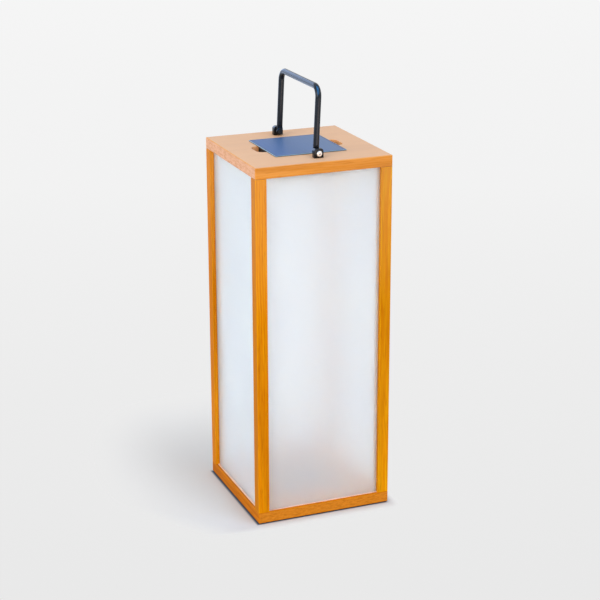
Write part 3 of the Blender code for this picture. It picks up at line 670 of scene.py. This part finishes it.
# black oxide leaves a dark grey metal with a mottled sheen
black_oxide, tree = blank("black_oxide_steel")
place = node(tree, "TexCoord").outputs["Object"]
mottle = node(tree, "TexNoise", {"Vector": place, "Scale": across(1.6), "Detail": 4.0})
shade = node(
    tree, "Mix", {0: mottle.outputs[0], 6: linear("#2A2B2D"), 7: linear("#46484B")}, data_type="RGBA"
)
sheen = node(tree, "MapRange", {"Value": mottle.outputs[0], "To Min": 0.3, "To Max": 0.5})
shader = node(
    tree,
    "BsdfPrincipled",
    {"Base Color": shade.outputs[2], "Roughness": sheen.outputs[0], "Metallic": 1.0},
)
node(tree, "OutputMaterial", {"Surface": shader.outputs[0]})

low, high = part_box("pivot_nut_front")
NUT_RADIUS = (high.x - low.x) / 2
CHAMFER_WIDE = 1.6 * MM
CHAMFER_NARROW = 0.6 * MM
CHAMFER_PAST = 0.02 * MM
THREAD_PLAY = 0.2 * MM
THREAD_DEPTH = 20 * MM
NUT_END = 0.8 * CAP
nut = begin(
    bpy.ops.mesh.primitive_cylinder_add,
    "pivot_nut_f",
    vertices=6,
    radius=NUT_RADIUS,
    depth=high.y - low.y,
    location=(low + high) / 2,
    rotation=(math.pi / 2, math.pi / 6, 0),
)
chamfer = begin(
    bpy.ops.mesh.primitive_cone_add,
    "chamfer",
    vertices=48,
    radius1=NUT_RADIUS + CHAMFER_WIDE,
    radius2=NUT_RADIUS - CHAMFER_NARROW,
    depth=high.y - low.y + CHAMFER_PAST,
    location=(low + high) / 2,
    rotation=(-math.pi / 2, 0, 0),
)
combine(nut, chamfer, "INTERSECT")
thread = begin(
    bpy.ops.mesh.primitive_cylinder_add,
    "thread",
    vertices=32,
    radius=SHANK_RADIUS + THREAD_PLAY,
    depth=THREAD_DEPTH,
    location=(0, high.y - NUT_END - THREAD_DEPTH / 2, pivot.z),
    rotation=(math.pi / 2, 0, 0),
)
combine(nut, thread, "DIFFERENCE")
smooth(nut, 20)
back_nut = half_turned(nut, "pivot_nut_b")
settle(nut, black_oxide, "frame", "dark_steel", "pivot_nut_front")
settle(back_nut, black_oxide, "frame", "dark_steel", "pivot_nut_back")


# Handle: one length of round steel bar, bent twice into a bail, with flats milled at its ends and an
# eye in each for the pivot bolt. It is coated like its blocks and stands a little off plumb.
BAR_RADIUS = 5.2 * MM
LEG = 85 * MM
REACH = 110 * MM
BEND = 17 * MM
FLAT_LENGTH = 10.5 * MM
FLAT_SHOULDER = 1.5 * MM
HALF_FLAT = 2.5 * MM
EYE_RADIUS = 6 * MM
EYE_PROUD = 0.4 * MM
EYE_EASE = 0.5 * MM
WELD = 0.01 * MM
LEAN = math.radians(2.75)
bail = begin(
    bpy.ops.mesh.primitive_circle_add,
    "handle",
    vertices=48,
    radius=BAR_RADIUS,
    fill_type="NGON",
    location=(0, -LEG, pivot.z),
)
bpy.ops.object.mode_set(mode="EDIT")
bpy.ops.mesh.select_all(action="SELECT")
bpy.ops.mesh.extrude_region_move(TRANSFORM_OT_translate={"value": (0, 0, REACH - BEND)})
bend_height = pivot.z + REACH - BEND
quarter = {"steps": 14, "angle": math.pi / 2, "axis": (1, 0, 0)}
bpy.ops.mesh.spin(center=(0, BEND - LEG, bend_height), **quarter)
bpy.ops.mesh.extrude_region_move(TRANSFORM_OT_translate={"value": (0, 2 * (LEG - BEND), 0)})
bpy.ops.mesh.spin(center=(0, LEG - BEND, bend_height), **quarter)
bpy.ops.mesh.extrude_region_move(TRANSFORM_OT_translate={"value": (0, 0, BEND - REACH)})
bpy.ops.mesh.select_all(action="SELECT")
bpy.ops.mesh.remove_doubles(threshold=WELD)
bpy.ops.mesh.normals_make_consistent(inside=False)
bpy.ops.object.mode_set(mode="OBJECT")
for side in (-1, 1):
    for face in (-1, 1):
        mill = begin(
            bpy.ops.mesh.primitive_cube_add,
            "mill",
            size=1,
            location=(0, side * LEG + face * (HALF_FLAT + BAR_RADIUS), pivot.z),
            scale=(3 * BAR_RADIUS, 2 * BAR_RADIUS, 2 * FLAT_LENGTH),
        )
        bpy.ops.object.mode_set(mode="EDIT")
        outer = side * LEG + face * 2 * BAR_RADIUS
        pick(mill, "edges", lambda e: middle(e).z > pivot.z + TOUCH and (middle(e).y - outer) * face > 0)
        slope = 2 * BAR_RADIUS / (BAR_RADIUS - HALF_FLAT)
        bpy.ops.transform.translate(value=(0, 0, slope * FLAT_SHOULDER))
        bpy.ops.object.mode_set(mode="OBJECT")
        combine(bail, mill, "DIFFERENCE")
    eye = begin(
        bpy.ops.mesh.primitive_cylinder_add,
        "eye",
        vertices=48,
        radius=EYE_RADIUS,
        depth=2 * (HALF_FLAT + EYE_PROUD),
        location=(0, side * LEG, pivot.z),
        rotation=(math.pi / 2, 0, 0),
    )
    apply(eye, "BEVEL", width=EYE_EASE, segments=3, **sharp)
    combine(bail, eye, "UNION")
bore = begin(
    bpy.ops.mesh.primitive_cylinder_add,
    "bore",
    vertices=32,
    radius=BORE_RADIUS,
    depth=3 * LEG,
    location=pivot,
    rotation=(math.pi / 2, 0, 0),
)
combine(bail, bore, "DIFFERENCE")
lean = Matrix.Translation(pivot) @ Matrix.Rotation(LEAN, 4, "Y") @ Matrix.Translation(-pivot)
bail.data.transform(lean)
smooth(bail, 30)
settle(bail, powder_coat, "handle", "black_coat", "handle_bail")


# Module housing and cover: injection-moulded black ABS with a fine spark texture. The housing hangs
# under the panel in the top board's opening, and the cover closes it from below on a rubber seal.
moulded, tree = blank("moulded_abs")
place = node(tree, "TexCoord").outputs["Object"]
spark = node(tree, "TexNoise", {"Vector": place, "Scale": across(0.6), "Detail": 2.0})
flow = node(tree, "TexNoise", {"Vector": place, "Scale": across(30), "Detail": 2.0})
shade = node(
    tree, "Mix", {0: flow.outputs[0], 6: linear("#131416"), 7: linear("#1F2022")}, data_type="RGBA"
)
sheen = node(tree, "MapRange", {"Value": flow.outputs[0], "To Min": 0.45, "To Max": 0.6})
texture = node(tree, "Bump", {"Height": spark.outputs[0], "Strength": 0.25, "Distance": 0.06 * MM})
shader = node(
    tree,
    "BsdfPrincipled",
    {
        "Base Color": shade.outputs[2],
        "Roughness": sheen.outputs[0],
        "Normal": texture.outputs[0],
        "IOR": 1.54,
    },
)
node(tree, "OutputMaterial", {"Surface": shader.outputs[0]})
dress(moulded, "module_housing", "module_cover", "battery_holder", "push_switch")
dress(sheet_rubber, "cover_seal")
dress(zinc_plate, *["cover_screw_" + corner for corner in CORNERS])


# Solar panel: a laminate of thin-film silicon under tempered glass, bonded to the roof of the housing
# with its rim resting on the top board. The silicon is a deep even blue with hairline scribes, the
# glass blurs what it mirrors at a low angle, and its ground edge is a pale cyan.
SCRIBE_PITCH = 8.4
HALF_FILM = 60 * MM
MARGIN = 2.5 * MM
GROUND_EDGE = 0.55 * MM
GLASS = 0.75 * MM
FADE = 0.2 * MM
silicon, tree = blank("silicon_under_glass")
place = node(tree, "TexCoord").outputs["Object"]
cast = node(tree, "TexNoise", {"Vector": place, "Scale": across(70), "Detail": 2.0})
scribes = node(
    tree,
    "TexWave",
    {"Vector": place, "Scale": WAVE_TURN * across(SCRIBE_PITCH)},
    wave_type="BANDS",
    bands_direction="X",
)
hairline = node(
    tree,
    "MapRange",
    {"Value": scribes.outputs["Fac"], "From Min": 0.985, "From Max": 1.0, "To Max": 0.25},
)
# the panel greys towards the right, a painted reflection of glare on the glass, with a random cast
sideways = node(tree, "SeparateXYZ", {0: place}).outputs["X"]
greying = node(
    tree,
    "MapRange",
    {"Value": sideways, "From Min": -HALF_FILM, "From Max": HALF_FILM, "To Min": -0.25, "To Max": 0.75},
).outputs[0]
greying = node(
    tree, "Math", {0: cast.outputs[0], 1: 0.5, 2: greying}, operation="MULTIPLY_ADD", use_clamp=True
).outputs[0]
cells = node(tree, "Mix", {0: greying, 6: linear("#1A528A"), 7: linear("#466386")}, data_type="RGBA")
scribed = node(
    tree, "Mix", {0: hairline.outputs[0], 6: cells.outputs[2], 7: linear("#5E7EA8")}, data_type="RGBA"
)
low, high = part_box("solar_panel")
inward = node(tree, "VectorMath", {0: place}, operation="ABSOLUTE").outputs[0]
inward = node(tree, "VectorMath", {0: high, 1: inward}, operation="SUBTRACT").outputs[0]
depth = node(tree, "SeparateXYZ", {0: inward}).outputs
rim = node(tree, "Math", {0: depth[0], 1: depth[1]}, operation="MINIMUM").outputs[0]
in_margin = node(
    tree, "MapRange", {"Value": rim, "From Min": MARGIN + 2 * FADE, "From Max": MARGIN}
).outputs[0]
framed = node(
    tree, "Mix", {0: in_margin, 6: scribed.outputs[2], 7: linear("#102A58")}, data_type="RGBA"
)
on_edge = node(
    tree, "MapRange", {"Value": rim, "From Min": GROUND_EDGE + FADE, "From Max": GROUND_EDGE}
).outputs[0]
ground = node(tree, "Mix", {0: on_edge, 6: framed.outputs[2], 7: linear("#86B0C8")}, data_type="RGBA")
under = node(
    tree, "MapRange", {"Value": depth[2], "From Min": GLASS, "From Max": GLASS + FADE / 2}
).outputs[0]
shade = node(tree, "Mix", {0: under, 6: ground.outputs[2], 7: linear("#0C0F16")}, data_type="RGBA")
glass = node(tree, "MapRange", {"Value": cast.outputs[0], "To Min": 0.42, "To Max": 0.5})
shader = node(
    tree,
    "BsdfPrincipled",
    {
        "Base Color": shade.outputs[2],
        "Roughness": glass.outputs[0],
        "IOR": 1.52,
        "Specular IOR Level": 0.55,
    },
)
node(tree, "OutputMaterial", {"Surface": shader.outputs[0]})

PANEL_CORNER = 1.0 * MM
PANEL_EASE = 0.3 * MM
EASE_LOOP = 0.35 * MM
panel = begin(
    bpy.ops.mesh.primitive_cube_add, "panel_glass", size=1, location=(low + high) / 2, scale=high - low
)
bpy.ops.object.mode_set(mode="EDIT")
pick(panel, "edges", lambda e: abs(e.verts[0].co.z - e.verts[1].co.z) > TOUCH)
bpy.ops.mesh.bevel(offset=PANEL_CORNER, segments=5, affect="EDGES")
pick(panel, "faces", lambda f: f.normal.z > 0.9)
bpy.ops.mesh.inset(thickness=EASE_LOOP, depth=0)
bpy.ops.object.mode_set(mode="OBJECT")
apply(panel, "BEVEL", width=PANEL_EASE, segments=2, **sharp)
smooth(panel, 30)
settle(panel, silicon, "light_module", "solar_glass", "solar_panel")


# Diffuser lens: a low dome of opal polycarbonate in the window of the cover, under the LED board.
# Opal plastic is milky, lets light through and has a soft gloss.
opal, tree = blank("opal_polycarbonate")
place = node(tree, "TexCoord").outputs["Object"]
milk = node(tree, "TexNoise", {"Vector": place, "Scale": across(12), "Detail": 2.0})
shade = node(
    tree, "Mix", {0: milk.outputs[0], 6: linear("#EDEBE4"), 7: linear("#F8F7F2")}, data_type="RGBA"
)
shader = node(
    tree,
    "BsdfPrincipled",
    {
        "Base Color": shade.outputs[2],
        "Roughness": 0.32,
        "IOR": 1.58,
        "Transmission Weight": 0.35,
    },
)
node(tree, "OutputMaterial", {"Surface": shader.outputs[0]})
dress(opal, "diffuser_lens")


# Electronics inside the housing: two glass-fibre boards, four LED packages, two wrapped cells in
# their holder, a push switch with its silicone button, and three insulated leads. Only the button
# shows once the cover is on, small and matte grey.
for name, first, second, size, roughness, nodes in (
    ("board_white_mask", "#DEDDD6", "#ECEBE6", 4, 0.45, ("led_board",)),
    ("board_green_mask", "#12421F", "#1B5A2B", 4, 0.4, ("control_board",)),
    ("led_phosphor", "#E0B93A", "#F0D264", 1, 0.45, ["led_" + corner for corner in CORNERS]),
    ("cell_sleeve", "#1C4E86", "#2A63A2", 9, 0.32, ("battery_cell_front", "battery_cell_back")),
    ("lead_insulation", "#8E1712", "#B0241C", 3, 0.5, ("panel_lead", "battery_lead", "led_lead")),
    ("button_silicone", "#5A5D61", "#6D7074", 2, 0.6, ("power_button",)),
):
    material, tree = blank(name)
    place = node(tree, "TexCoord").outputs["Object"]
    variation = node(tree, "TexNoise", {"Vector": place, "Scale": across(size), "Detail": 3.0})
    shade = node(
        tree, "Mix", {0: variation.outputs[0], 6: linear(first), 7: linear(second)}, data_type="RGBA"
    )
    surface = node(tree, "Bump", {"Height": variation.outputs[0], "Strength": 0.1, "Distance": 0.1 * MM})
    shader = node(
        tree,
        "BsdfPrincipled",
        {"Base Color": shade.outputs[2], "Normal": surface.outputs[0], "Roughness": roughness},
    )
    node(tree, "OutputMaterial", {"Surface": shader.outputs[0]})
    dress(material, *nodes)


# Floor: a plain pale sweep that keeps the lantern's shadow. What the camera, gloss and glass see of it
# grows into a plain backdrop away from the lantern, lighter towards the back.
FLOOR_SIDE = 40
YAW = math.radians(21.88)
NEAR, MIDWAY, FAR = -0.4, 2.2, 7.0
bpy.ops.object.select_all(action="DESELECT")
bpy.ops.mesh.primitive_plane_add(size=FLOOR_SIDE, location=(0, 0, 0))
floor = bpy.context.object
floor.name = "floor"
pale_floor, tree = blank("pale_floor")
place = node(tree, "TexCoord").outputs["Object"]
depth = node(
    tree, "VectorMath", {0: place, 1: (math.sin(YAW), math.cos(YAW), 0)}, operation="DOT_PRODUCT"
).outputs["Value"]
near_half = node(tree, "MapRange", {"Value": depth, "From Min": NEAR, "From Max": MIDWAY}).outputs[0]
far_half = node(tree, "MapRange", {"Value": depth, "From Min": MIDWAY, "From Max": FAR}).outputs[0]
tint = node(tree, "Mix", {0: near_half, 6: linear("#E9E9E9"), 7: linear("#F2F2F2")}, data_type="RGBA")
tint = node(tree, "Mix", {0: far_half, 6: tint.outputs[2], 7: linear("#F6F6F6")}, data_type="RGBA")
# the shadow lies close to the base at the front and right, and runs out to the left and the back
half = cad_corners[1].x
right, back, left, front = (1 / (reach * MM) for reach in (18, 400, 210, 26))
to_right = node(
    tree,
    "VectorMath",
    {0: place, 1: (right, back, 0), 2: (-half * right, -half * back, 0)},
    operation="MULTIPLY_ADD",
).outputs[0]
to_left = node(
    tree,
    "VectorMath",
    {0: place, 1: (-left, -front, 0), 2: (-half * left, -half * front, 0)},
    operation="MULTIPLY_ADD",
).outputs[0]
outside = node(tree, "VectorMath", {0: to_right, 1: to_left}, operation="MAXIMUM").outputs[0]
outside = node(tree, "VectorMath", {0: outside, 1: (0, 0, 0)}, operation="MAXIMUM").outputs[0]
# beside the base, the front border of the shadow slants back from a point ahead of the corner
SLANT = 1.2
AHEAD = 40 * MM
BORDER = 100 * MM
spot = node(tree, "SeparateXYZ", {0: place}).outputs
beside = node(tree, "Math", {0: spot["X"], 1: -1.0, 2: -half}, operation="MULTIPLY_ADD").outputs[0]
beside = node(tree, "Math", {0: beside, 1: 0.0}, operation="MAXIMUM").outputs[0]
border = node(tree, "Math", {0: beside, 1: SLANT, 2: -half - AHEAD}, operation="MULTIPLY_ADD").outputs[0]
border = node(tree, "Math", {0: border, 1: spot["Y"]}, operation="SUBTRACT").outputs[0]
border = node(tree, "MapRange", {"Value": border, "From Max": BORDER}).outputs[0]
border = node(tree, "CombineXYZ", {"Z": border}).outputs[0]
outside = node(tree, "VectorMath", {0: outside, 1: border}, operation="ADD").outputs[0]
outside = node(tree, "VectorMath", {0: outside}, operation="LENGTH").outputs["Value"]
away = node(tree, "MapRange", {"Value": outside}, interpolation_type="SMOOTHSTEP").outputs[0]
path = node(tree, "LightPath").outputs
seen = node(
    tree, "Math", {0: path["Is Camera Ray"], 1: path["Is Glossy Ray"]}, operation="MAXIMUM"
).outputs[0]
seen = node(tree, "Math", {0: seen, 1: path["Is Transmission Ray"]}, operation="MAXIMUM").outputs[0]
glow_share = node(tree, "Math", {0: seen, 1: away}, operation="MULTIPLY").outputs[0]
# a dark line of painted shadow runs round the base on the floor's paint, for the narrow gap under it that
# lets in no light, and is wider at the left and the back, away from the key
CONTACT = 4 * MM
off_key = (1.5 * MM, -1.5 * MM, 0)
aside = node(tree, "VectorMath", {0: place, 1: off_key}, operation="ADD").outputs[0]
aside = node(tree, "VectorMath", {0: aside}, operation="ABSOLUTE").outputs[0]
aside = node(tree, "SeparateXYZ", {0: aside}).outputs
square = node(tree, "Math", {0: aside["X"], 1: aside["Y"]}, operation="MAXIMUM").outputs[0]
clear = node(
    tree,
    "MapRange",
    {"Value": square, "From Min": half - CONTACT / 2, "From Max": half + CONTACT},
    interpolation_type="SMOOTHSTEP",
)
contact_shaded = node(
    tree, "Mix", {0: clear.outputs[0], 6: linear("#3C5468"), 7: linear("#CFCECB")}, data_type="RGBA"
)
paint = node(tree, "BsdfDiffuse", {"Color": contact_shaded.outputs[2]})
backdrop = node(tree, "Emission", {"Color": tint.outputs[2], "Strength": 1.0})
mixed = node(tree, "MixShader", {0: glow_share, 1: paint.outputs[0], 2: backdrop.outputs[0]})
node(tree, "OutputMaterial", {"Surface": mixed.outputs[0]})
floor.data.materials.append(pale_floor)


# Light: an even studio dome, a cool softbox overhead, a cool window behind, a warm key from the right and
# front, a warm softbox low in front that the handle's legs mirror, and a fill from the left. A blue card
# overhead and a pale card low behind light the handle alone, and its gloss mirrors them.
studio = bpy.data.worlds.new("studio")
studio.use_nodes = True
studio.node_tree.nodes.clear()
tree = studio.node_tree
path = node(tree, "LightPath").outputs
seen = node(
    tree, "Math", {0: path["Is Camera Ray"], 1: path["Is Glossy Ray"]}, operation="MAXIMUM"
).outputs[0]
seen = node(tree, "Math", {0: seen, 1: path["Is Transmission Ray"]}, operation="MAXIMUM").outputs[0]
ambient = node(tree, "Background", {"Color": linear("#FFFFFF"), "Strength": 0.68})
white = node(tree, "Background", {"Color": linear("#F8F9FB"), "Strength": 1.0})
mixed = node(tree, "MixShader", {0: seen, 1: ambient.outputs[0], 2: white.outputs[0]})
node(tree, "OutputWorld", {"Surface": mixed.outputs[0]})
bpy.context.scene.world = studio


def softbox(name, location, aim, width, height, power, colour):
    """An oblong area lamp that points at a place."""
    heading = (Vector(aim) - Vector(location)).to_track_quat("-Z", "Y").to_euler()
    bpy.ops.object.light_add(type="AREA", location=location, rotation=heading)
    lamp = bpy.context.object
    lamp.name = name
    lamp.data.shape = "RECTANGLE"
    lamp.data.size = width
    lamp.data.size_y = height
    lamp.data.energy = power
    lamp.data.color = linear(colour)[:3]
    lamp.visible_camera = False
    return lamp


softbox("sky_softbox", (0.4, -0.8, 2.6), (0, 0, 0.6), 0.7, 0.7, 16, "#78B8FF")
softbox("window_softbox", (-0.8, 3.0, 1.7), (0, 0, 0.7), 3.0, 1.8, 44, "#ACCCFF")
softbox("key_softbox", (2.0, -3.5, 3.4), (0, 0, 0.4), 2.2, 2.2, 36, "#FFF4E6")
softbox("low_softbox", (0.1, -1.55, 0.38), (0, 0, 0.38), 1.9, 0.34, 7, "#FFD8BA")
softbox("fill_softbox", (-3.5, -1.4, 1.8), (0, 0, 0.35), 2.2, 2.2, 92, "#FFFAF4")
blue_card = softbox("blue_card", (-0.67, -1.53, 3.3), (0, -0.085, 0.76), 3.4, 5.0, 560, "#18A4F0")
back_card = softbox("back_card", (-0.22, 1.22, 0.38), (0, 0, 0.76), 1.1, 0.65, 3, "#ACCCFF")
handle_alone = bpy.data.collections.new("handle_alone")
handle_alone.objects.link(bail)
for card in (blue_card, back_card):
    card.light_linking.receiver_collection = handle_alone


# Camera: at the photograph's viewing angle, 18 degrees down from the front left, with a long lens and a
# trace of roll, as fitted to the corners of the box.
PITCH = math.radians(18.44)
ROLL = math.radians(-0.17)
bpy.ops.object.camera_add(location=(-1.0677, -2.6698, 1.3239))
camera = bpy.context.object
camera.data.lens = 101.48
camera.data.sensor_width = 36
turn = Matrix.Rotation(-YAW, 3, "Z") @ Matrix.Rotation(math.pi / 2 - PITCH, 3, "X")
camera.rotation_euler = (turn @ Matrix.Rotation(ROLL, 3, "Z")).to_euler()
bpy.context.scene.camera = camera
bpy.context.scene.view_settings.view_transform = "Standard"
